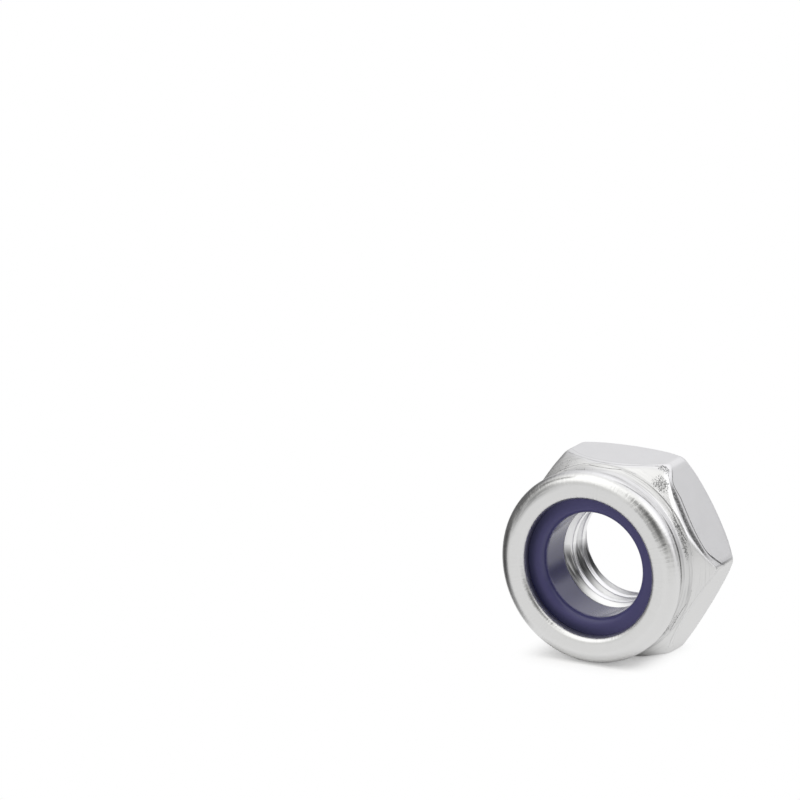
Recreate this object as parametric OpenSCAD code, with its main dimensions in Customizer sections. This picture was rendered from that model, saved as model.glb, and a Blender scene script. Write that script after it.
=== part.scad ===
// Hex lock nut, metric M6, with a nylon ring held under a rolled-in collar.
// Each piece is drawn about its own bore, with the bearing face at z = 0 and the collar on top.
// The finished nut is laid on one of its flats, so its bore runs along Y and the collar faces -Y.

/* [Hex] */
// Width across the flats
across_flats = 10; // [9.6:0.1:11]
// Height of the hex, from the bearing face to the foot of the neck
hex_h = 4; // [3.6:0.05:4.3]
// Radius on the six long edges between the flats
corner_r = 0.4; // [0.1:0.05:0.9]
// How far the rim of the bearing face lies inside the flats
bearing_inset = 0.25; // [0.1:0.05:0.8]
// Slope of the chamfer under the corners, measured from the bearing face
bearing_chamfer_angle = 30; // [15:1:45]
// Slope of the cone from the corners up to the neck, measured from the bearing face
shoulder_angle = 53; // [35:1:55]

/* [Collar] */
// Height of the whole nut, from the bearing face to the collar's crown
nut_h = 5.7; // [5.5:0.1:6.5]
// How far the collar's roll stays inside the flats
collar_inset = 0.05; // [0.02:0.01:0.2]
// How far the neck lies inside the flats
neck_inset = 0.35; // [0.25:0.05:0.6]
// Radius of the hollow where the neck runs out into the shoulder
neck_fillet_r = 0.8; // [0.2:0.1:1]
// Radius of the collar's outer roll
roll_r = 0.6; // [0.5:0.02:0.7]
// Thickness of the collar's wall round the insert
collar_wall = 0.75; // [0.6:0.05:0.9]
// Diameter of the mouth inside the rolled lip
mouth_d = 7.1; // [6.6:0.1:7.4]
// Radius over which the lip rounds down from the crown into the mouth
lip_r = 0.5; // [0.3:0.05:0.6]
// How far the top of that round lies below the crown
lip_drop = 0.04; // [0:0.02:0.2]
// Straight wall in the mouth, between that round and the insert
lip_land = 0.04; // [0.04:0.02:0.2]
// Radius inside the collar where its wall turns over into the lip
pocket_corner_r = 0.3; // [0.1:0.05:0.4]

/* [Thread] */
// Nominal diameter of the thread
thread_d = 6; // [5.5:0.1:6.4]
// Pitch of the thread
pitch = 1; // [0.75:0.05:1.25]
// How much wider than its basic size the hole over the crests is bored
crest_allowance = 0.23; // [0:0.01:0.24]
// Flat faces along one turn of the thread
thread_steps = 48; // [24:4:72]
// How far the countersink's rim lies outside the thread
countersink_rim = 0.3; // [0.1:0.05:0.5]
// Full angle of the countersink in the bearing face
countersink_angle = 120; // [90:5:120]
// How far the rim of the chamfer under the insert lies outside the thread's crests
inner_chamfer_rim = 0.5; // [0.1:0.05:0.6]
// Full angle of the chamfer under the insert
inner_chamfer_angle = 120; // [60:5:120]

/* [Insert] */
// Height of the nylon ring
insert_h = 2.45; // [1.8:0.05:2.5]
// How far the ring reaches in past the crests of the bolt's thread
bolt_bite = 0.3; // [0.2:0.05:0.4]
// Radius from the ring's face into its bore
insert_mouth_r = 0.5; // [0.2:0.05:0.6]
// Chamfer at the foot of the ring's bore
insert_foot = 0.22; // [0.04:0.02:0.3]
// Gap round the ring and under the lip
insert_gap = 0.01; // [0:0.01:0.05]

/* [Hidden] */
$fn = 96;
// Runs a cut out past the surface that it opens
cut_past = 1;
// How far a round swells past the flat that it blends into, so that the two cross cleanly
lap = 0.0002;

flat_r = across_flats / 2;
bearing_r = flat_r - bearing_inset;
neck_r = flat_r - neck_inset;
collar_r = flat_r - collar_inset;

// The outer roll, and the round of the lip that it runs into
roll_at = [collar_r - roll_r, nut_h - roll_r];
mouth_r = mouth_d / 2;
lip_at = [mouth_r + lip_r, nut_h - lip_drop - lip_r];
lip_under = lip_at[1] - lip_land;

// The pocket that the nylon ring fills
pocket_r = collar_r - collar_wall;
pocket_floor = lip_under - insert_gap - insert_h;

// Thread: the sharp triangle is 60 degrees, and a quarter of it is cut off at each crest
flank_angle = 30;
triangle_h = pitch * cos(flank_angle);
thread_r = thread_d / 2;
crest_r = thread_r - 0.625 * triangle_h + crest_allowance / 2;
root_half_w = pitch / 16;

insert_bore_r = thread_r - bolt_bite;
insert_r = pocket_r - insert_gap;
insert_top = pocket_floor + insert_h;

// Where the chamfer under the corners would meet the shoulder's cone, outside the hex
function rim_r() =
    (hex_h + neck_r * tan(shoulder_angle) + bearing_r * tan(bearing_chamfer_angle))
    / (tan(shoulder_angle) + tan(bearing_chamfer_angle));
function rim_at() = [rim_r(), (rim_r() - bearing_r) * tan(bearing_chamfer_angle)];

// Direction, square to the line that touches both rolls from above
function over_angle() =
    let (step = roll_at - lip_at)
    atan2(step[1], step[0]) + acos((lip_r - roll_r) / norm(step));
function touch(centre, radius) = centre + (radius - lap) * [cos(over_angle()), sin(over_angle())];

// Hexagonal bar with rounded long edges
module hex_bar(height) {
    arc_at = (flat_r - corner_r) / cos(30);
    half_w = arc_at * sin(30);
    linear_extrude(height)
        polygon([
            for (side = [0:5])
                for (end = [-1, 1])
                    let (a = 60 * side + 30)
                    [flat_r * cos(a) - end * half_w * sin(a), flat_r * sin(a) + end * half_w * cos(a)]
        ]);
    for (corner = [0:5])
        rotate(60 * corner)
            translate([arc_at, 0, 0])
                cylinder(h = height, r = corner_r + lap);
}

// Half section of the hollow between neck and shoulder
module neck_fillet() {
    reach = neck_fillet_r / tan((90 + shoulder_angle) / 2);
    foot = [neck_r, hex_h];
    centre = foot + [neck_fillet_r, reach];
    difference() {
        polygon([
            foot - [reach, reach],
            foot + reach * [cos(shoulder_angle), -sin(shoulder_angle)],
            centre,
            foot + [0, reach]
        ]);
        translate(centre)
            circle(neck_fillet_r + lap);
    }
}

// Half section of everything turned: bearing face, chamfers, neck and rolled collar
module turned_section() {
    polygon([
        [0, 0],
        [bearing_r, 0],
        rim_at(),
        [neck_r, hex_h],
        [neck_r, roll_at[1]],
        roll_at,
        touch(roll_at, roll_r),
        touch(lip_at, lip_r),
        lip_at,
        [mouth_r, lip_at[1]],
        [mouth_r, hex_h],
        [0, hex_h]
    ]);
    translate(roll_at)
        circle(roll_r);
    translate(lip_at)
        circle(lip_r + lap);
    neck_fillet();
}

// Half section of the pocket, or of what fills it when it is drawn smaller by a gap
module pocket_section(gap, inner_r, floor_at) {
    top = lip_under - gap;
    side = pocket_r - gap;
    turn_at = [pocket_r - pocket_corner_r, lip_under - pocket_corner_r];
    polygon([
        [inner_r, floor_at],
        [side, floor_at],
        [side, turn_at[1]],
        turn_at,
        [turn_at[0], top],
        [inner_r, top]
    ]);
    translate(turn_at)
        circle(pocket_corner_r - gap + lap);
}

// One cross-section of the thread groove, at a height and an angle round the bore
function groove_at(height, angle) =
    let (
        // The cutter starts inside the open bore, where its flanks stand further apart
        inner_r = crest_r - pitch / 4,
        mouth_half_w = root_half_w + (thread_r - inner_r) * tan(flank_angle)
    )
    [
        for (p = [
            [inner_r, -mouth_half_w],
            [thread_r, -root_half_w],
            [thread_r, root_half_w],
            [inner_r, mouth_half_w]
        ])
        [p[0] * cos(angle), p[0] * sin(angle), height + p[1]]
    ];

// The helical cutter, running from one height up to another
module thread_groove(low, high) {
    sections = ceil((high - low) / pitch * thread_steps);
    corners = len(groove_at(low, 0));
    points = [
        for (i = [0:sections])
            each groove_at(low + pitch * i / thread_steps, 360 * i / thread_steps)
    ];
    sides = [
        for (i = [0:sections - 1])
            for (j = [0:corners - 1])
                let (
                    a = corners * i + j,
                    b = corners * i + (j + 1) % corners,
                    c = b + corners,
                    d = a + corners
                )
                each [[a, b, c], [a, c, d]]
    ];
    last = corners * sections;
    polyhedron(
        points = points,
        faces = concat([[3, 2, 1, 0]], sides, [[last, last + 1, last + 2, last + 3]]),
        convexity = 10
    );
}

// Cone that opens a bore of crest size out to a wider rim at z = 0
module countersink(rim, full_angle) {
    depth = (rim - crest_r) / tan(full_angle / 2);
    cylinder(h = depth, r1 = rim, r2 = crest_r);
}

// Lays an upright piece on a flat, collar forward
module laid_on_flat() {
    rotate([90, 0, 0])
        children();
}

module nut_body() {
    color("silver")
        laid_on_flat()
            difference() {
                intersection() {
                    hex_bar(nut_h);
                    rotate_extrude()
                        turned_section();
                }
                rotate_extrude()
                    pocket_section(0, 0, pocket_floor);
                translate([0, 0, -cut_past])
                    cylinder(h = nut_h + 2 * cut_past, r = crest_r);
                countersink(thread_r + countersink_rim, countersink_angle);
                translate([0, 0, pocket_floor])
                    mirror([0, 0, 1])
                        countersink(crest_r + inner_chamfer_rim, inner_chamfer_angle);
                thread_groove(-pitch, pocket_floor + pitch);
            }
}

module nylon_insert() {
    mouth_at = [insert_bore_r + insert_mouth_r, insert_top - insert_mouth_r];
    color([0.27, 0.26, 0.42])
        laid_on_flat()
            rotate_extrude() {
                pocket_section(insert_gap, mouth_at[0], pocket_floor);
                polygon([
                    [insert_bore_r + insert_foot, pocket_floor],
                    [mouth_at[0], pocket_floor],
                    mouth_at,
                    [insert_bore_r, mouth_at[1]],
                    [insert_bore_r, pocket_floor + insert_foot]
                ]);
                translate(mouth_at)
                    circle(insert_mouth_r + lap);
            }
}

nut_body();
nylon_insert();
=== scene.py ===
import math

import bmesh
import bpy
import numpy as np
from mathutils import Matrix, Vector


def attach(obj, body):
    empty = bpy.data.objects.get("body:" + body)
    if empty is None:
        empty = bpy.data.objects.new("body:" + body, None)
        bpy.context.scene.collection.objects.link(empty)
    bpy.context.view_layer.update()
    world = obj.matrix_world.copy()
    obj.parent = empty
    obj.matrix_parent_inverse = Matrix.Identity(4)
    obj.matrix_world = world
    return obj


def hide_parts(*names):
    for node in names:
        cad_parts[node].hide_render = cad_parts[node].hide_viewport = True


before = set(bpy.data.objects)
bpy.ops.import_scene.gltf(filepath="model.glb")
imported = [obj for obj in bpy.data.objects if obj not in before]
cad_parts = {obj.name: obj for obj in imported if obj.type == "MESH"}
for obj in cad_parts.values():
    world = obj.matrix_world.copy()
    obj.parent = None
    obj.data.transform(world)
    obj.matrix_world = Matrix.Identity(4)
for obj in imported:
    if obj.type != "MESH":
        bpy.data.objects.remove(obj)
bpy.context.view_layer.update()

# Sizes in millimetres, as in the part's source. Heights run from the bearing face to the collar.
MM = 0.001
FLAT_R = 5.0
CORNER_R = 0.4
HEX_H = 4.0
NUT_H = 5.7
BEARING_R = FLAT_R - 0.25
BEARING_RISE = math.tan(math.radians(30))
SHOULDER_SLOPE = math.radians(53)
SHOULDER_FALL = math.tan(SHOULDER_SLOPE)
NECK_R = FLAT_R - 0.35
NECK_FILLET_R = 0.8
COLLAR_R = FLAT_R - 0.05
ROLL_R = 0.6
ROLL_AT = (COLLAR_R - ROLL_R, NUT_H - ROLL_R)
MOUTH_R = 3.55
LIP_R = 0.5
LIP_DROP = 0.04
LIP_LAND = 0.04
LIP_AT = (MOUTH_R + LIP_R, NUT_H - LIP_DROP - LIP_R)
POCKET_R = COLLAR_R - 0.75
POCKET_CORNER_R = 0.3
POCKET_TOP = LIP_AT[1] - LIP_LAND

# Nylon ring, and the pocket's floor that it stands on
RING_GAP = 0.01
RING_H = 2.45
RING_TOP = POCKET_TOP - RING_GAP
RING_R = POCKET_R - RING_GAP
RING_CORNER_R = POCKET_CORNER_R - RING_GAP
RING_BORE_R = 2.7
RING_MOUTH_R = 0.5
RING_FOOT = 0.22
POCKET_FLOOR = RING_TOP - RING_H

# Thread, and the two cones that open it
CREST_R = 2.5737
THREAD_R = 3.0
PITCH = 1.0
ROOT_HALF_W = PITCH / 16
FLANK = math.radians(30)
COUNTERSINK_RIM = 3.3
COUNTERSINK_HALF = math.radians(60)
INNER_CHAMFER_RIM = CREST_R + 0.5
INNER_CHAMFER_HALF = math.radians(60)


def laid_down(radius, angle, height):
    """Points of the nut lying on its flat, in metres, from radius, angle and height about its bore."""
    return np.stack(
        [
            radius * np.cos(angle),
            -height * np.ones_like(angle),
            radius * np.sin(angle),
        ],
        axis=-1,
    ) * MM


def arc(centre, radius, start, end, steps):
    """Points of a section's round, from one angle in degrees to another."""
    turn = np.radians(np.linspace(start, end, steps + 1))
    return [(centre[0] + radius * math.cos(a), centre[1] + radius * math.sin(a)) for a in turn]


def blunt_arc(centre, radius, start, steps, power):
    """A round to the side at 180 degrees. It is a circle up to its top, and comes down fuller than one."""
    found = []
    for x, y in arc((0, 0), 1.0, start, 180, steps):
        if x < 0:
            x, y = -((-x) ** (2 / power)), max(y, 0) ** (2 / power)
        found.append((centre[0] + radius * x, centre[1] + radius * y))
    return found


def line(start, end, steps):
    """Points along a straight stretch of a section, without its two ends."""
    shares = np.linspace(0, 1, steps + 2)[1:-1]
    return [tuple((1 - s) * p + s * q for p, q in zip(start, end)) for s in shares]


def curved(before, corner, after, share):
    """The point, at a share of the way, of the round that cuts a corner off between two points."""
    first, second, third = (1 - share) ** 2, 2 * share * (1 - share), share ** 2
    return tuple(first * a + second * b + third * c for a, b, c in zip(before, corner, after))


def eased(before, corner, after, steps=4):
    """Points that round a corner off between a point before it and one after it."""
    return [curved(before, corner, after, share) for share in np.linspace(0, 1, steps + 1)]


def bump_at(value, centre, width):
    """Smooth hill of height 1 at a centre, with a given half width."""
    return np.exp(-((value - centre) / width) ** 2)


def plateau(off, width):
    """1 near 0, falling off quickly past a given half width."""
    return np.exp(-(off / width) ** 6)


def softer(a, b, width, sign):
    """The larger of two radii (sign 1) or the smaller (sign -1), with the edge between them rounded."""
    return 0.5 * (a + b + sign * (np.sqrt((a - b) ** 2 + width ** 2) - 0.3 * width))


class Section:
    """The rows of a turned piece, each with how dark its line of scores and painted shade is, and how far
    its colour is lightened for burnish and a painted highlight.
    """

    def __init__(self, around):
        self.around = around
        self.ones = np.ones_like(around)
        self.rows = []
        self.score_and_shade = []
        self.burnish_and_highlight = []

    def turned(self, points, score_and_shade=0.0, burnish_and_highlight=0.0):
        """Rows through the points of a section, whose radii and heights may change round the bore."""
        for radius, height in points:
            self.rows.append(laid_down(radius * self.ones, self.around, height * self.ones))
            self.score_and_shade.append(score_and_shade * self.ones)
            self.burnish_and_highlight.append(burnish_and_highlight * self.ones)


def wrapped_mesh(name, rows, marks=None):
    """A closed piece from rows of points that run round the bore, the last row joined to the first."""
    rows = np.array(rows)
    count, around = rows.shape[:2]
    row, column = np.meshgrid(np.arange(count), np.arange(around), indexing="ij")
    next_row, next_column = (row + 1) % count, (column + 1) % around
    faces = np.stack(
        [
            row * around + column,
            row * around + next_column,
            next_row * around + next_column,
            next_row * around + column,
        ],
        axis=-1,
    ).reshape(-1, 4)
    mesh = bpy.data.meshes.new(name)
    mesh.from_pydata(rows.reshape(-1, 3).tolist(), [], faces.tolist())
    closed = bmesh.new()
    closed.from_mesh(mesh)
    bmesh.ops.recalc_face_normals(closed, faces=closed.faces)
    closed.to_mesh(mesh)
    closed.free()
    mesh.polygons.foreach_set("use_smooth", [True] * len(mesh.polygons))
    for mark, values in (marks or {}).items():
        layer = mesh.attributes.new(mark, "FLOAT", "POINT")
        layer.data.foreach_set("value", np.array(values, dtype=float).reshape(-1))
    piece = bpy.data.objects.new(name, mesh)
    bpy.context.scene.collection.objects.link(piece)
    return piece


# Hex

SIDE_DEG = 60
SIDE = math.radians(SIDE_DEG)
CORNER_AT = (FLAT_R - CORNER_R) / math.cos(SIDE / 2)
CORNER_HALF = math.atan2(CORNER_R / 2, CORNER_AT + CORNER_R * math.cos(SIDE / 2))


def angles_round_the_hex(per_flat=30, per_corner=8):
    """Angles about the bore, set closer together where they cross a rounded edge of the hex."""
    corner = np.linspace(-CORNER_HALF, CORNER_HALF, per_corner, endpoint=False)
    flat = np.linspace(CORNER_HALF, SIDE - CORNER_HALF, per_flat, endpoint=False)
    one_side = np.concatenate([corner, flat])
    return np.concatenate([one_side + SIDE * side for side in range(6)])


def from_mid_flat(angle):
    """How far round from the middle of its flat each angle lies."""
    return (angle + SIDE) % SIDE - SIDE / 2


def short_of_corner(angle):
    """How many degrees each angle lies from the nearest corner."""
    return SIDE_DEG / 2 - np.abs(np.degrees(from_mid_flat(angle)))


def nearest_corner(angle):
    """Number of the corner that each angle is nearest to, counted from the one on +X."""
    return np.round(np.degrees(angle) / SIDE_DEG).astype(int) % 6


def hex_reach(angle):
    """Distance from the bore's axis to the hex's side at each angle."""
    off_flat = from_mid_flat(angle)
    off_corner = SIDE / 2 - np.abs(off_flat)
    flat = FLAT_R / np.cos(off_flat)
    inside = np.maximum(CORNER_R ** 2 - (CORNER_AT * np.sin(off_corner)) ** 2, 0)
    rounded = CORNER_AT * np.cos(off_corner) + np.sqrt(inside)
    return np.where(off_corner < CORNER_HALF, rounded, flat)


def stretch(angle, start, end, soft):
    """1 between two angles in degrees, fading in and out within them."""
    at = (np.degrees(angle) + 180) % 360 - 180
    return np.clip((at - start) / soft, 0, 1) * np.clip((end - at) / soft, 0, 1)


# How the front end of each corner is worn, from the one on +X round by way of the top: how far the flat's
# edge falls back there, over the last degrees before it, and how far the corner is rounded off
CORNER_DROP = np.array([0.25, 0.10, 0.15, 0.15, 0.30, 0.15])
DROP_WITHIN = 2.0
CORNER_ROUND = np.array([0.10, 0.45, 0.40, 0.60, 0.60, 0.95])
ROUND_WITHIN = 6.5

# The worn flat at the upper right: at these angles its border, and the streak beside it, lie so far
# below the sharp edge that flat and cone would have
WORN_AT = (0, 4, 8, 13, 17, 23, 28, 33, 38, 43, 47, 52, 57, 60)
WORN_BORDER = (0.62, 0.40, 0.32, 0.41, 0.50, 0.60, 0.67, 0.71, 0.70, 0.65, 0.45, 0.16, 0.08, 0.06)
WORN_STREAK = (0.10, 0.06, 0.06, 0.15, 0.21, 0.27, 0.30, 0.33, 0.34, 0.28, 0.19, 0.07, 0.03, 0.02)


def corner_drop(angle):
    """How far the front edge of a flat falls back where it rounds off towards a corner."""
    past = np.clip(1 - short_of_corner(angle) / DROP_WITHIN, 0, 1)
    return CORNER_DROP[nearest_corner(angle)] * (1 - np.sqrt(1 - past ** 2))


def corner_round(angle):
    """How far from a corner's front end its rounding reaches."""
    return CORNER_ROUND[nearest_corner(angle)] * bump_at(short_of_corner(angle), 0, ROUND_WITHIN)


# The facets at the front edge of a flat: how far the outer one falls below the sharp edge, how far the
# inner one reaches back over the cone, where the fold between them lies, and the share left at a corner
FACET_DROP = 0.30
FACET_BACK = 0.20
FOLD_BACK = 0.04
FOLD_DROP = 0.03
FACET_LEFT = 0.12

# Rounding from which a corner has no facets, and how far over the cone it reaches for each mm of it
WHOLLY_ROUND = 0.35
ROUND_BACK = 0.55


class FrontEdge:
    """Where a flat meets the shoulder's cone. From the flat's border two narrow facets lead by a fold
    between them over to the cone, and near a worn corner one round takes their place. On the flat at
    the upper right the outer facet is wide."""

    def __init__(self, around, hex_r):
        turn = np.degrees(around)
        sharp = HEX_H - (hex_r - NECK_R) * SHOULDER_FALL
        share_out = np.abs(from_mid_flat(around)) / (SIDE / 2)
        rounding = corner_round(around)
        self.fullness = FACET_LEFT + (1 - FACET_LEFT) * (1 - share_out ** 4)
        self.roundness = np.clip(rounding / WHOLLY_ROUND, 0, 1)
        self.worn = (turn >= 0) & (turn < SIDE_DEG)
        self.worn_drop = np.interp(turn, WORN_AT, WORN_BORDER)
        self.streak_drop = np.interp(turn, WORN_AT, WORN_STREAK)
        facet_drop = np.where(self.worn, self.worn_drop, FACET_DROP * self.fullness)
        self.drop = facet_drop + corner_drop(around) + rounding
        back = FACET_BACK * self.fullness + ROUND_BACK * rounding
        self.border = (hex_r, sharp - self.drop)
        self.sharp = (hex_r, sharp)
        self.fold = (hex_r - FOLD_BACK * self.fullness, sharp - FOLD_DROP * self.fullness)
        self.cone = (hex_r - back, sharp + back * SHOULDER_FALL)

    def over(self, share, arched=0.0):
        """The point between the border (share 0), the fold (0.5) and the cone (1)."""
        outer, inner = np.clip(2 * share, 0, 1), np.clip(2 * share - 1, 0, 1)
        folded = [
            a + outer * (b - a) + inner * (c - b)
            for a, b, c in zip(self.border, self.fold, self.cone)
        ]
        folded = (folded[0] + arched * self.fullness, folded[1] + 0.5 * arched * self.fullness)
        rounded = curved(self.border, self.sharp, self.cone, share)
        return tuple((1 - self.roundness) * a + self.roundness * b for a, b in zip(folded, rounded))


# Nut body

# How far the eased edges of the bearing side reach, and how much further and over how many degrees the
# one between chamfer and flats does at the corners
SINK_EASE_IN = 0.04
SINK_EASE_OUT = 0.05
BEARING_EASE = 0.06
FLAT_EASE = 0.07
FLAT_EASE_AT_CORNER = 0.20
FLAT_EASE_WITHIN = 6.0
COUNTERSINK_RISE = 1 / math.tan(COUNTERSINK_HALF)

# Rows down the bore, how far above the countersink's eased edge the last one lies, and how far the
# thread's edges are eased
BORE_ROWS = 150
BORE_LAST = 0.012
THREAD_EASE = 0.03

# Where the raised line at the neck's foot lies, and its height
FOOT_LINE_R = 4.92
FOOT_LINE_AT = (FOOT_LINE_R, HEX_H - (FOOT_LINE_R - NECK_R) * SHOULDER_FALL)
FOOT_LINE_H = 0.014

# Power of the lip's round, where 2 would be a circle, and the small round at the lip's lower rim
LIP_POWER = 2.8
LIP_RIM = 0.02


def bearing_side(nut, hex_r, low_edge, soft):
    """Bearing face, from the countersink's rim outward, and the chamfer under the corners."""
    rim, ease = COUNTERSINK_RIM, BEARING_EASE
    in_sink = (rim - SINK_EASE_IN, SINK_EASE_IN * COUNTERSINK_RISE)
    nut.turned(eased(in_sink, (rim, 0), (rim + SINK_EASE_OUT, 0)))
    nut.turned(line((rim + SINK_EASE_OUT, 0), (BEARING_R - ease, 0), 8))
    nut.turned(eased((BEARING_R - ease, 0), (BEARING_R, 0), (BEARING_R + ease, ease * BEARING_RISE)))
    start = BEARING_R + ease
    for share in np.linspace(0, 1, 8)[1:]:
        radius = start + share * (hex_r - soft - start)
        nut.turned([(radius, (radius - BEARING_R) * BEARING_RISE)])
    before = (hex_r - soft, low_edge - soft * BEARING_RISE)
    nut.turned(eased(before, (hex_r, low_edge), (hex_r, low_edge + soft))[1:])


def flats(nut, edge, hex_r, start):
    """The six flats, with a dark line along their border, partly a score and partly painted edge shade, and
    another dark line close to the first corner.
    """
    turn = np.degrees(nut.around)
    on_corner = bump_at(turn, 1.2, 0.55)
    bordered = 0.08 + 0.92 * stretch(nut.around, -1, 58, 3) + 0.10 * stretch(nut.around, 60, 122, 4)
    line_w = 0.034 + 0.10 * bump_at(turn, 4.5, 4.0)
    top = edge.border[1] - line_w
    for share in np.linspace(0, 1, 16)[1:-1]:
        height = start + share * (top - line_w - start)
        nut.turned([(hex_r, height)], on_corner * np.clip(height - 0.9, 0, 1))
    nut.turned([(hex_r, top - 0.4 * line_w)], on_corner)
    nut.turned([(hex_r, top)], bordered)
    nut.turned([(hex_r - 0.004, edge.border[1])], bordered)
    nut.turned([edge.over(0.03)], 0.15 * bordered)


def front_facets(nut, edge):
    """The facets between flats and cone. On the worn flat the outer one carries a dark streak through its
    middle, and the inner one is a little arched and lightened in colour, partly burnish and partly a
    painted highlight."""
    dark_streak = stretch(nut.around, 4, 55, 7)
    middle = 0.5 * (1 - edge.streak_drop / np.maximum(edge.worn_drop, 0.1)) * edge.worn + 0.25 * ~edge.worn
    middle = np.clip(middle, 0.16, 0.36)
    half_w = np.minimum(0.21, 0.44 * edge.drop) / edge.drop / 2
    for offset, much in ((-1.0, 0.2), (-0.6, 0.9), (0.0, 1.0), (0.6, 1.0), (1.0, 0.2)):
        nut.turned([edge.over(middle + offset * half_w)], much * dark_streak)
    nut.turned([edge.over(0.44), edge.over(0.5)])
    # Painted highlight: the inner facet of the worn flat is given a lighter colour
    painted_highlight_span = stretch(nut.around, 12, 61, 9)
    for share, arched, much in (
        (0.54, 0.004, 0.3),
        (0.58, 0.009, 0.8),
        (0.66, 0.015, 1.0),
        (0.75, 0.018, 1.0),
        (0.84, 0.015, 0.8),
        (0.92, 0.009, 0.4),
        (1.0, 0.0, 0.0),
    ):
        nut.turned([edge.over(share, arched)], 0.0, much * painted_highlight_span)


def neck(nut, cone_from, crease_h):
    """The cone, a faint raised line where the turning tool ran out with painted shade as a dark line on its
    inner side, the hollow, and the neck with dark lines of painted crease shade under the roll.
    """
    nut.turned(line(cone_from, FOOT_LINE_AT, 7))
    up_cone = (-math.cos(SHOULDER_SLOPE), math.sin(SHOULDER_SLOPE))
    off_cone = (math.sin(SHOULDER_SLOPE), math.cos(SHOULDER_SLOPE))
    # Painted shade: a dark line on the inner side of the raised line
    score_and_shade = 0.5 * stretch(nut.around, 30, 118, 20)
    for step, raised, much in (
        (-0.05, 0, 0),
        (-0.015, 1, 0),
        (0.015, 0.8, 0.3),
        (0.04, 0, 0.8),
        (0.07, -0.3, 0.5),
        (0.1, 0, 0),
    ):
        lift = raised * FOOT_LINE_H
        point = tuple(at + step * up + lift * off for at, up, off in zip(FOOT_LINE_AT, up_cone, off_cone))
        nut.turned([point], much * score_and_shade)
    reach = NECK_FILLET_R / math.tan(math.radians(90) / 2 + SHOULDER_SLOPE / 2)
    nut.turned([(NECK_R - reach * up_cone[0], HEX_H - reach * up_cone[1])])
    centre = (NECK_R + NECK_FILLET_R, HEX_H + reach)
    nut.turned(arc(centre, NECK_FILLET_R, 270 - math.degrees(SHOULDER_SLOPE), 180, 8)[1:])
    nut.turned(line((NECK_R, HEX_H + reach), (NECK_R, crease_h - 0.30), 1))
    # Painted crease shade: dark lines on the neck just under the roll, on the right
    marked = stretch(nut.around, -12, 42, 12)
    for below, much in ((0.30, 0.1), (0.27, 1.0), (0.21, 1.0), (0.15, 0.3), (0.07, 0.2)):
        nut.turned([(NECK_R, crease_h - below)], much * marked)


def collar(nut, crease_h):
    """The crease over the neck, dark with painted shade, the roll with two dark lines of painted reflection
    over it, the crown, and the lip with its underside, dark with painted shade.
    """
    turn = np.degrees(nut.around)
    # Painted shade in the crease under the roll, strongest from the right over the top
    crease_shade = 0.35 + 0.65 * stretch(nut.around, -20, 150, 20)
    nut.turned([(NECK_R, crease_h - 0.03), (NECK_R - 0.006, crease_h)], crease_shade)
    start = 3.0 - math.degrees(math.acos((NECK_R - ROLL_AT[0]) / ROLL_R))
    step = (ROLL_AT[0] - LIP_AT[0], ROLL_AT[1] - LIP_AT[1])
    over = math.degrees(math.atan2(step[1], step[0]) + math.acos((LIP_R - ROLL_R) / math.hypot(*step)))
    steps = 40
    roll = arc(ROLL_AT, ROLL_R, start, over, steps)
    lip = blunt_arc(LIP_AT, LIP_R, over, 28, LIP_POWER)
    nut.turned(roll[:2], crease_shade)

    # Two dark lines of painted reflection climb over the roll: how far round it they lie at each angle, and
    # how strong
    climbing = np.interp(turn, (36, 43, 52, 60, 75, 95, 100, 122), (-30, -15, -1, 9, 22, 30, 50, 52))
    strong = 0.8 * stretch(nut.around, 36, 76, 12) + 0.7 * stretch(nut.around, 97, 127, 6)
    for at, point in zip(np.linspace(start, over, steps + 1)[2:], roll[2:]):
        nut.turned([point], strong * bump_at(climbing, at, 4.5))
    nut.turned(line(roll[-1], lip[0], 3))
    nut.turned(lip)
    # Painted shade under the lip, where it meets the ring
    under = (MOUTH_R + LIP_RIM, POCKET_TOP)
    nut.turned(eased((MOUTH_R, POCKET_TOP + LIP_RIM), (MOUTH_R, POCKET_TOP), under, 2), 0.5)
    turn_at = (POCKET_R - POCKET_CORNER_R, POCKET_TOP - POCKET_CORNER_R)
    nut.turned(line(under, (turn_at[0], POCKET_TOP), 2), 1.0)


def pocket(nut):
    """The pocket under the collar, which the ring hides."""
    turn_at = (POCKET_R - POCKET_CORNER_R, POCKET_TOP - POCKET_CORNER_R)
    nut.turned(arc(turn_at, POCKET_CORNER_R, 90, 0, 6))
    nut.turned(line((POCKET_R, turn_at[1]), (POCKET_R, POCKET_FLOOR), 3))
    nut.turned([(POCKET_R, POCKET_FLOOR)])
    nut.turned(line((POCKET_R, POCKET_FLOOR), (INNER_CHAMFER_RIM + 0.02, POCKET_FLOOR), 4))


def threaded_radius(angle, height):
    """Radius of the bore's wall, which is the widest of thread, countersink and inner chamfer."""
    ease = THREAD_EASE
    climb = height - PITCH * angle / (2 * math.pi)
    from_groove = np.abs((climb + PITCH / 2) % PITCH - PITCH / 2)
    flank = THREAD_R - (from_groove - ROOT_HALF_W) / math.tan(FLANK)
    wall = softer(softer(flank, THREAD_R * np.ones_like(angle), ease * 2, -1), CREST_R, ease, 1)
    countersunk = COUNTERSINK_RIM - height * math.tan(COUNTERSINK_HALF)
    chamfered = INNER_CHAMFER_RIM - (POCKET_FLOOR - height) * math.tan(INNER_CHAMFER_HALF)
    return softer(softer(wall, countersunk, ease, 1), chamfered, ease, 1)


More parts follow.
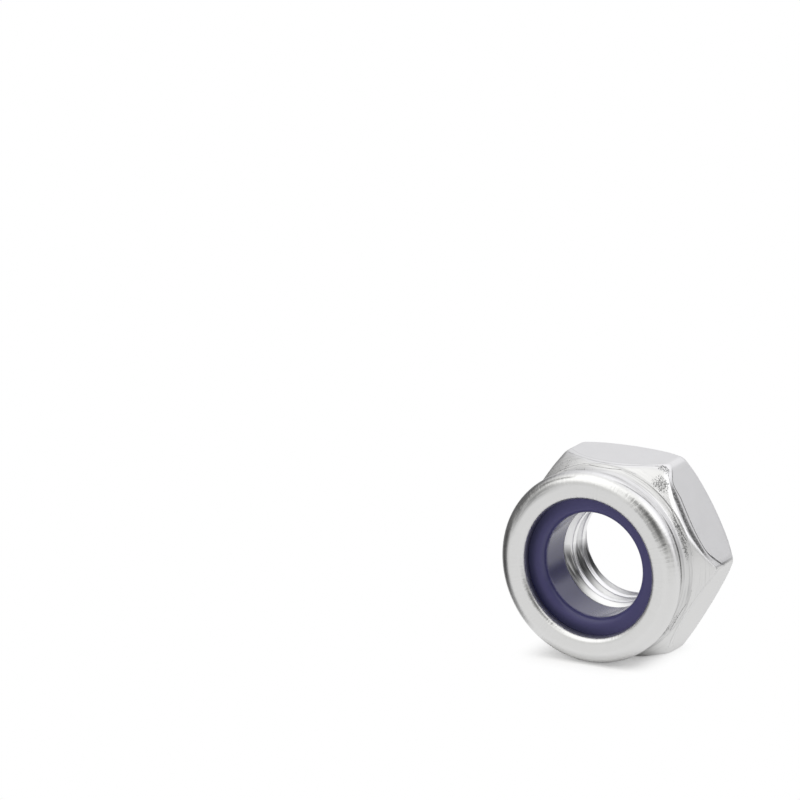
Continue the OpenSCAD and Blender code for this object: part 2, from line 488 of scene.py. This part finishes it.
def nut_body_section():
    """All rows of the steel, from the countersink round the outside and back down the bore."""
    nut = Section(angles_round_the_hex())
    hex_r = hex_reach(nut.around)
    low_edge = (hex_r - BEARING_R) * BEARING_RISE
    soft = FLAT_EASE + FLAT_EASE_AT_CORNER * bump_at(short_of_corner(nut.around), 0, FLAT_EASE_WITHIN)
    edge = FrontEdge(nut.around, hex_r)
    crease_h = ROLL_AT[1] - math.sqrt(ROLL_R ** 2 - (NECK_R - ROLL_AT[0]) ** 2)
    bearing_side(nut, hex_r, low_edge, soft)
    flats(nut, edge, hex_r, low_edge + soft)
    front_facets(nut, edge)
    neck(nut, edge.cone, crease_h)
    collar(nut, crease_h)
    pocket(nut)
    for height in np.linspace(POCKET_FLOOR, SINK_EASE_IN * COUNTERSINK_RISE + BORE_LAST, BORE_ROWS):
        nut.turned([(threaded_radius(nut.around, height), height)])
    return nut


# Where the steel is pitted: angle round the bore in degrees, height, half widths and how densely
PITTED = (
    (24, 3.84, 16, 0.13, 1.0),
    (60, 2.66, 4, 0.22, 1.0),
    (55, 3.30, 5.5, 0.30, 1.0),
    (128, 3.60, 20, 0.60, 0.5),
    (112, 3.95, 16, 0.12, 0.6),
    (-35, 3.85, 12, 0.15, 0.5),
    (-70, 3.9, 20, 0.3, 0.35),
    (-150, 3.9, 25, 0.4, 0.45),
)

# Where dark reflections are painted on the collar in streaks across: angle in degrees, radius, half widths
# and how strongly
DARK_REFLECTION_SMUDGES = (
    (38, 4.60, 20, 0.22, 0.7),
    (-149, 3.66, 16, 0.17, 0.4),
)

# Where a dark reflection is painted along the rim of the collar's roll, in the same order
DARK_RIM_REFLECTIONS = (
    (138, 4.66, 24, 0.40, 0.9),
    (172, 4.74, 28, 0.33, 1.0),
    (-152, 4.90, 46, 0.10, 1.0),
)


def spread(rows, table, on_collar):
    """How strongly each point outside the bore is marked by a table of places. The places of the
    collar are told by their radius, the others by their height."""
    places = np.array(rows) / MM
    angle = np.degrees(np.arctan2(places[..., 2], places[..., 0]))
    height = -places[..., 1]
    radius = np.hypot(places[..., 0], places[..., 2])
    along = radius if on_collar else height
    found = np.zeros_like(angle)
    for at, level, wide, tall, much in table:
        off = (angle - at + 180) % 360 - 180
        found = np.maximum(found, much * np.exp(-(off / wide) ** 4) * plateau(along - level, tall))
    lowest = ROLL_AT[1] if on_collar else -1.0
    return found * (radius > MOUTH_R - 0.01) * (height > lowest)


body = nut_body_section()
nut_body = wrapped_mesh("nut_body_steel", body.rows, {
    "score_and_shade": body.score_and_shade,
    "burnish_and_highlight": body.burnish_and_highlight,
    "pitted": spread(body.rows, PITTED, False),
    "dark_streak": spread(body.rows, DARK_REFLECTION_SMUDGES, True),
    "rim_reflection": spread(body.rows, DARK_RIM_REFLECTIONS, True),
})


# Nylon ring

def ring_section():
    """All rows of the ring, from its foot up the bore, over the face and down its outside."""
    ring = Section(np.linspace(0, 2 * math.pi, 216, endpoint=False))
    mouth_at = (RING_BORE_R + RING_MOUTH_R, RING_TOP - RING_MOUTH_R)
    corner_at = (RING_R - RING_CORNER_R, RING_TOP - RING_CORNER_R)
    foot = (RING_BORE_R, POCKET_FLOOR + RING_FOOT)
    foot_end = (RING_BORE_R + RING_FOOT, POCKET_FLOOR)
    ring.turned([foot])
    ring.turned(line(foot, (RING_BORE_R, mouth_at[1]), 14))
    ring.turned(arc(mouth_at, RING_MOUTH_R, 180, 90, 18))
    ring.turned(line((mouth_at[0], RING_TOP), (corner_at[0], RING_TOP), 8))
    ring.turned(arc(corner_at, RING_CORNER_R, 90, 0, 6))
    ring.turned(line((RING_R, corner_at[1]), (RING_R, POCKET_FLOOR), 4))
    ring.turned([(RING_R, POCKET_FLOOR)])
    ring.turned(line((RING_R, POCKET_FLOOR), foot_end, 5))
    ring.turned([foot_end])
    return ring


nylon_ring = wrapped_mesh("nylon_ring", ring_section().rows)


# Finishes

class Wire:
    """The output of a node, so that shader values can be written as sums."""

    def __init__(self, recipe, socket):
        self.recipe = recipe
        self.socket = socket

    def maths(self, operation, first, second):
        return self.recipe.node("ShaderNodeMath", {"operation": operation}, {0: first, 1: second})

    def __add__(self, other):
        return self.maths("ADD", self, other)

    __radd__ = __add__

    def __sub__(self, other):
        return self.maths("SUBTRACT", self, other)

    def __rsub__(self, other):
        return self.maths("SUBTRACT", other, self)

    def __mul__(self, other):
        return self.maths("MULTIPLY", self, other)

    __rmul__ = __mul__

    def __truediv__(self, other):
        return self.maths("DIVIDE", self, other)

    def __rtruediv__(self, other):
        return self.maths("DIVIDE", other, self)

    def __pow__(self, other):
        return self.maths("POWER", self, other)

    def __rpow__(self, other):
        return self.maths("POWER", other, self)

    def out(self, name):
        """Another output of the same node."""
        return Wire(self.recipe, self.socket.node.outputs[name])


class Recipe:
    """The nodes of one material, or of the world."""

    def __init__(self, tree):
        self.tree = tree
        tree.nodes.clear()

    def node(self, kind, settings=None, sockets=None, out=0):
        """A node of a kind, with its settings and the values or links of its sockets."""
        made = self.tree.nodes.new(kind)
        for name, value in (settings or {}).items():
            setattr(made, name, value)
        for name, value in (sockets or {}).items():
            if isinstance(value, Wire):
                self.tree.links.new(value.socket, made.inputs[name])
            else:
                made.inputs[name].default_value = value
        return Wire(self, made.outputs[out]) if made.outputs else made

    def mixed(self, factor, first, second):
        """A colour between two."""
        return self.node("ShaderNodeMix", {"data_type": "RGBA"}, {0: factor, 6: first, 7: second}, out=2)

    def vector(self, operation, sockets, out=0):
        return self.node("ShaderNodeVectorMath", {"operation": operation}, sockets, out)

    def joined(self, x, y, z):
        return self.node("ShaderNodeCombineXYZ", {}, {0: x, 1: y, 2: z})

    def between(self, value, low, high, to_low=0.0, to_high=1.0):
        """A smooth step from one value to another."""
        return self.node(
            "ShaderNodeMapRange",
            {"interpolation_type": "SMOOTHSTEP"},
            {0: value, 1: low, 2: high, 3: to_low, 4: to_high},
        )

    def noise(self, place, scale, detail=2.0, roughness=0.5):
        return self.node(
            "ShaderNodeTexNoise",
            {},
            {"Vector": place, "Scale": scale, "Detail": detail, "Roughness": roughness},
        )

    def mark(self, name):
        """How strongly the piece's points carry a mark."""
        return self.node("ShaderNodeAttribute", {"attribute_name": name}, {}, out=2)

    def place(self):
        """The point on the piece, in millimetres about the bore."""
        return self.vector("SCALE", {0: self.node("ShaderNodeTexCoord", out=3), "Scale": 1.0 / MM})

    def about_the_bore(self, place):
        """Across, up, height over the bearing face and radius of a point on the piece."""
        parts = self.node("ShaderNodeSeparateXYZ", {}, {0: place})
        x, z = parts, parts.out("Z")
        return x, z, 0.0 - parts.out("Y"), (x * x + z * z) ** 0.5

    def surface(self, relief, depth, sockets):
        """The material's surface, with a relief of a given depth."""
        bump = self.node("ShaderNodeBump", {}, {"Strength": 1.0, "Distance": depth, "Height": relief})
        made = self.node("ShaderNodeBsdfPrincipled", {}, {**sockets, "Normal": bump})
        self.node("ShaderNodeOutputMaterial", {}, {"Surface": made})


def new_recipe(name):
    material = bpy.data.materials.new(name)
    material.use_nodes = True
    return material, Recipe(material.node_tree)


def grey(level):
    return (level, level, level, 1)


def satin_steel():
    material, mix = new_recipe("satin_steel")
    place = mix.place()
    x, z, height, radius = mix.about_the_bore(place)
    across, up = x / radius, z / radius
    turn = mix.node("ShaderNodeMath", {"operation": "ARCTAN2"}, {0: z, 1: x}) * (180 / math.pi)
    on_collar = mix.between(height, 4.45, 4.75)
    in_bore = mix.between(radius, 3.2, 3.1)
    grain = mix.noise(place, 9.0, 3.0, 0.6)
    mottle = mix.noise(place, 1.3, 3.0, 0.6)
    fine = mix.noise(place, 15.0, 3.0, 0.65)

    # Draw marks: along the bore on the flats, and over the collar from its edge to the mouth
    drawn = mix.noise(mix.joined(across * 34.0, up * 34.0, height * 0.5), 1.0, 3.0, 0.65)

    # Fine rings that the turning tool left on the shoulder's cone and on the neck
    over_cone = height + (radius - NECK_R) * SHOULDER_FALL
    on_cone = mix.between(over_cone, HEX_H - 0.10, HEX_H - 0.02) * mix.between(height, 4.6, 4.3)
    rings = mix.noise(mix.joined(x * 0.35, height * 11.0, z * 0.35), 1.0, 3.0, 0.7) * on_cone
    on_neck = mix.between(height, 3.5, 3.8) * mix.between(height, 4.75, 4.5)
    dulled = on_neck * mix.between(radius, 5.1, 4.95) * mix.between(across, -0.5, -0.2)

    # Painted shade and dark reflection in the thread at the lower left, in streaks along its turns
    wound = mix.noise(mix.joined(x * 0.6, height * 14.0, z * 0.6), 1.0, 2.0, 0.6)
    low_left = mix.between(turn, -128.0, -150.0) * mix.between(turn, -184.0, -166.0)
    painted_thread_shade = in_bore * low_left * mix.between(wound, 0.30, 0.54)

    # Marks, most of them broken up by the grain: pits, dark lines that are partly scores and partly painted
    # shade and reflection, painted highlights, and painted dark reflections on the collar and its rim
    burnish_and_highlight = mix.mark("burnish_and_highlight")
    score_and_shade = mix.mark("score_and_shade") * mix.between(fine, 0.34, 0.50, 0.45, 1.0)
    pitted_here = mix.mark("pitted")
    pits = mix.between(fine * 0.75 + drawn * 0.25 + 0.18 * pitted_here, 0.60, 0.72)
    pitted = mix.between(pitted_here, 0.06, 0.4) * pits
    # Painted dark reflections: smudges on the roll at the upper right and by the lip at the lower left
    reflection_smudge_here = mix.mark("dark_streak")
    dark_streak = reflection_smudge_here * mix.between(drawn * 0.55 + fine * 0.45 + 0.22 * reflection_smudge_here, 0.48, 0.70)
    # Painted dark reflection along the rim of the roll on the left
    along_rim = mix.noise(mix.joined(across * 4.0, up * 4.0, radius * 11.0), 1.0, 3.0, 0.6)
    rim_reflection = mix.mark("rim_reflection") * mix.between(along_rim * 0.7 + fine * 0.3, 0.36, 0.58, 0.50, 1.0)

    dulling = dulled * (0.15 + 0.42 * mix.between(rings, 0.42, 0.60))
    tint = mix.mixed(mottle, (0.76, 0.758, 0.752, 1), (0.80, 0.798, 0.795, 1))
    tint = mix.mixed(mix.between(rings, 0.50, 0.72) * 0.35, tint, grey(0.45))
    tint = mix.mixed(dulling, tint, grey(0.42))
    # Lighter colour in the bore, and on the burnish rows, where it is partly a painted highlight
    tint = mix.mixed(mix.between(in_bore + burnish_and_highlight, 0.0, 1.0), tint, grey(0.97))
    tint = mix.mixed(pitted * 0.85, tint, grey(0.17))
    # Painted dark reflections on the collar
    tint = mix.mixed(dark_streak * 0.82, tint, grey(0.19))
    # Painted dark reflection along the rim
    tint = mix.mixed(rim_reflection * 0.9, tint, grey(0.24))
    # Painted shade in the thread
    tint = mix.mixed(painted_thread_shade * 0.9, tint, (0.10, 0.10, 0.105, 1))
    # Dark lines, partly scores and partly painted shade and reflection
    tint = mix.mixed(score_and_shade * 0.94, tint, grey(0.08))
    roughness = 0.30 - 0.05 * on_collar + 0.06 * mottle + 0.05 * grain + 0.12 * pitted + 0.12 * score_and_shade
    relief = grain * (0.5 + 0.5 * on_collar) + drawn * (0.30 + 2.7 * on_collar) + rings * 2.2 - 0.5 * pitted
    mix.surface(relief, 0.0055 * MM, {"Base Color": tint, "Metallic": 1.0, "Roughness": roughness})
    return material


def dark_nylon():
    material, mix = new_recipe("dark_nylon")
    place = mix.place()
    x, z, height, radius = mix.about_the_bore(place)
    grain = mix.noise(place, 6.0, 2.0)
    cloud = mix.noise(place, 0.8, 2.0)

    # The face is duller than the bore. Close to the lip on the left it is painted dark as the lip's shadow,
    # and on the mouth's round it is painted lighter
    on_face = mix.between(radius, 2.70, 2.80)
    in_bore = mix.between(radius, 3.0, 2.70)
    lip_shadow_painted = mix.between(radius, 2.90, 3.48) * mix.between((x * 0.85 + z * 0.4) / radius, 0.3, -0.7)
    round_light_painted = mix.between(height, 4.58, 4.70) * mix.between(radius, 3.05, 2.85)
    tint = mix.mixed(cloud, (0.050, 0.045, 0.130, 1), (0.062, 0.056, 0.148, 1))
    # Painted shadow of the lip
    tint = mix.mixed(lip_shadow_painted * 0.95, tint, (0.006, 0.006, 0.040, 1))
    # Painted light on the mouth's round
    tint = mix.mixed(round_light_painted * 0.25, tint, (0.100, 0.095, 0.220, 1))
    tint = mix.mixed(in_bore, tint, (0.060, 0.057, 0.158, 1))
    mix.surface(grain, 0.003 * MM, {
        "Base Color": tint,
        "Roughness": 0.16 + 0.26 * on_face,
        "IOR": 1.50,
        "Specular IOR Level": 0.32,
        "Specular Tint": (0.84, 0.86, 1.0, 1),
        "Coat Weight": in_bore * 0.55,
        "Coat Roughness": 0.14,
        "Coat IOR": 1.6,
    })
    return material


def dressed(piece, material, node):
    piece.data.materials.append(material)
    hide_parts(node)
    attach(piece, "root")


dressed(nut_body, satin_steel(), "nut_body")
dressed(nylon_ring, dark_nylon(), "nylon_insert")


# Room and floor

# Soft zones round the nut, which the steel mirrors: bearing from the front, elevation, half width and
# softness in degrees, and what each adds to the plain level, down to the darkest that is left. Those
# below the horizon lie on the table.
STUDIO_LEVEL = 0.84
TABLE_LEVEL = 0.90
DARKEST = 0.16
ZONES = (
    (-32, 48, 14, 26, 0.22),
    (-131, 77, 12, 26, 0.14),
    (128, 36, 14, 26, 0.39),
    (100, 42, 7, 16, 0.44),
    (70, 62, 9, 18, 0.32),
    (-168, 50, 8, 22, 0.34),
    (-125, -30, 12, 18, 0.30),
    (34, 30, 11, 21, -0.72),
    (60, 26, 5, 16, -0.28),
    (-118, 10, 8, 20, -0.62),
    (-84, 2, 10, 20, -0.52),
    (-70, -15, 11, 13, -0.56),
    (-33, 6, 6, 13, -0.18),
    (178, -42, 6, 12, -0.12),
    (86, 15, 5, 14, -0.45),
    (134, 5, 2, 9, -0.40),
    (149, 5, 3, 12, -0.62),
)

# In metres: the middle of the nut, the footprint about which the table takes its shadow, and how far
# from that the table has turned into the backdrop
NUT_MIDDLE = (0, -0.003, 0.004)
FOOTPRINT_AT = (-0.0003, -0.0028, 0)
FOOTPRINT_HALF = (0.0021, 0.0024, 0)
FADES_OVER = 0.0019

# The table, also in metres, lies a hair's breadth below the nut
TABLE_SIZE = 3.0
TABLE_BELOW = 0.000005


def zoned(mix, way, level):
    """The level seen along a direction, with the soft zones put in."""
    for bearing, elevation, half, soft, amount in ZONES:
        turn, rise = math.radians(bearing), math.radians(elevation)
        aim = (math.sin(turn) * math.cos(rise), -math.cos(turn) * math.cos(rise), math.sin(rise))
        facing = mix.vector("DOT_PRODUCT", {0: way, 1: aim}, out=1)
        inner, outer = math.cos(math.radians(half)), math.cos(math.radians(half + soft))
        level = level + mix.between(facing, outer, inner) * amount
    return mix.node("ShaderNodeMath", {"operation": "MAXIMUM"}, {0: level, 1: DARKEST})


def pale_floor():
    """White table: it takes the nut's shadow, and away from the nut it is the plain white backdrop."""
    material, mix = new_recipe("pale_floor")
    path = mix.node("ShaderNodeLightPath")
    seen, mirrored = path.out("Is Camera Ray"), path.out("Is Glossy Ray")
    cloth = mix.node("ShaderNodeBsdfDiffuse", {}, {"Color": grey(0.88)})
    lift = mix.node("ShaderNodeEmission", {}, {"Color": grey(1), "Strength": seen * 0.27})
    near = mix.node("ShaderNodeAddShader", {}, {0: cloth, 1: lift})
    here = mix.node("ShaderNodeTexCoord", out=3)
    way = mix.vector("NORMALIZE", {0: mix.vector("SUBTRACT", {0: here, 1: NUT_MIDDLE})})
    strength = seen + (1.0 - seen) * zoned(mix, way, TABLE_LEVEL)
    white = mix.node("ShaderNodeEmission", {}, {"Color": grey(1), "Strength": strength})
    centred = mix.vector("ABSOLUTE", {0: mix.vector("SUBTRACT", {0: here, 1: FOOTPRINT_AT})})
    outside = mix.vector("SUBTRACT", {0: centred, 1: FOOTPRINT_HALF})
    distance = mix.vector("LENGTH", {0: mix.vector("MAXIMUM", {0: outside, 1: (0, 0, 0)})}, out=1)
    far = (seen + mirrored) * mix.between(distance, 0.0, FADES_OVER)
    surface = mix.node("ShaderNodeMixShader", {}, {0: far, 1: near, 2: white})
    mix.node("ShaderNodeOutputMaterial", {}, {"Surface": surface})
    return material


bpy.ops.mesh.primitive_plane_add(size=TABLE_SIZE, location=(0, 0, -FLAT_R * MM - TABLE_BELOW))
floor = bpy.context.object
floor.name = "floor"
floor.data.materials.append(pale_floor())


def studio():
    """The room: white where the camera looks, and a level with zones, warmer in front, where it lights."""
    world = bpy.data.worlds.new("studio")
    world.use_nodes = True
    bpy.context.scene.world = world
    mix = Recipe(world.node_tree)
    seen = mix.node("ShaderNodeLightPath").out("Is Camera Ray")
    way = mix.node("ShaderNodeTexCoord", out=0)
    behind = mix.vector("DOT_PRODUCT", {0: way, 1: (0.0, 1.0, 0.0)}, out=1)
    tone = mix.mixed(mix.between(behind, -0.3, 0.6), (1, 1, 0.982, 1), (0.975, 0.973, 1, 1))
    level = zoned(mix, way, STUDIO_LEVEL)
    room = mix.node("ShaderNodeBackground", {}, {"Color": tone, "Strength": level})
    white = mix.node("ShaderNodeBackground", {}, {"Color": grey(1), "Strength": 1.0})
    surface = mix.node("ShaderNodeMixShader", {}, {0: seen, 1: room, 2: white})
    mix.node("ShaderNodeOutputWorld", {}, {"Surface": surface})


studio()


# Light

def softbox(name, place, aim, size, power):
    lamp = bpy.data.lights.new(name, "AREA")
    lamp.shape = "SQUARE"
    lamp.size = size
    lamp.energy = power
    holder = bpy.data.objects.new(name, lamp)
    holder.location = place
    holder.rotation_mode = "QUATERNION"
    holder.rotation_quaternion = (Vector(aim) - Vector(place)).to_track_quat("-Z", "Y")
    bpy.context.scene.collection.objects.link(holder)


softbox("softbox_above_left", place=(-0.16, -0.25, 0.35), aim=(0, 0, 0), size=0.60, power=0.40)


# Camera, aimed so that the nut lies low on the right, as it does in the photograph. It stands the
# distance, in metres, from the nut.

PIXELS_PER_MM = 19.91
FRAME_PX = 800
NUT_PX = (621.1, 549.0)
NUT_AT = (0, -2.0 * MM, 0)
AZIMUTH = math.radians(27.4)
ELEVATION = math.radians(17.0)
DISTANCE = 0.4
SENSOR_MM = 36.0


def photographer():
    back = Vector((
        math.sin(AZIMUTH) * math.cos(ELEVATION),
        -math.cos(AZIMUTH) * math.cos(ELEVATION),
        math.sin(ELEVATION),
    ))
    right = Vector((math.cos(AZIMUTH), math.sin(AZIMUTH), 0))
    up = back.cross(right)
    nut_at = Vector(NUT_AT)
    across, down = ((at - FRAME_PX / 2) / PIXELS_PER_MM * MM for at in NUT_PX)
    target = nut_at - across * right + down * up
    camera = bpy.data.objects.new("camera", bpy.data.cameras.new("camera"))
    bpy.context.scene.collection.objects.link(camera)
    camera.location = nut_at + DISTANCE * back
    camera.rotation_mode = "QUATERNION"
    camera.rotation_quaternion = (target - camera.location).to_track_quat("-Z", "Y")
    camera.data.sensor_width = SENSOR_MM
    camera.data.lens = SENSOR_MM * PIXELS_PER_MM * DISTANCE / MM / FRAME_PX
    camera.data.clip_start = 0.01
    camera.data.clip_end = 10.0
    bpy.context.scene.camera = camera


photographer()
bpy.context.scene.view_settings.view_transform = "Standard"
